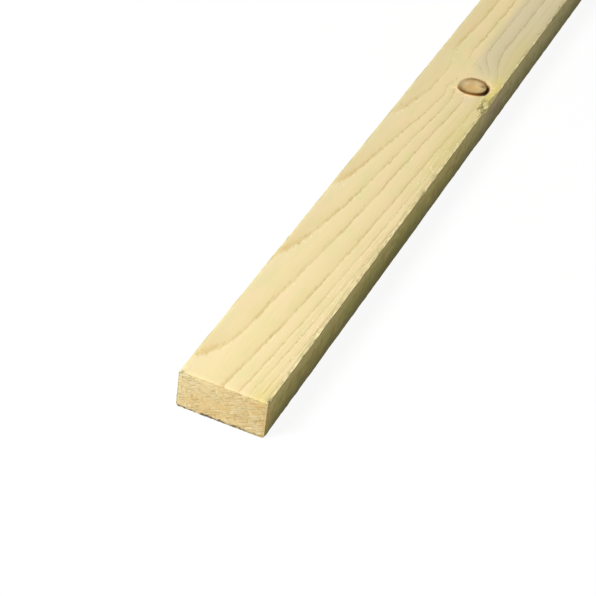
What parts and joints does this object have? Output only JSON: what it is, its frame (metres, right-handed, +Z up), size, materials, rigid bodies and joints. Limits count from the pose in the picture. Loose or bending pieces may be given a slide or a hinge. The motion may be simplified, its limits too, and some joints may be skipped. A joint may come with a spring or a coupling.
{
  "type": "timber plank",
  "caption": "Straight sawn softwood plank of plain rectangular section with eased arrises, knotted near one end; stock for framing, battening and general building work.",
  "frame": {"origin": "middle of the underside, on the surface that the plank lies on", "axes": "+Y along the length, from the knotty near end to the far end; +X across the width; +Z up through the thickness"},
  "size_m": [0.047, 1.8, 0.022],
  "materials": {
    "sawn_softwood": "bare, sawn"
  },
  "bodies": {
    "root": {"plank": "sawn_softwood"}
  },
  "joints": []
}
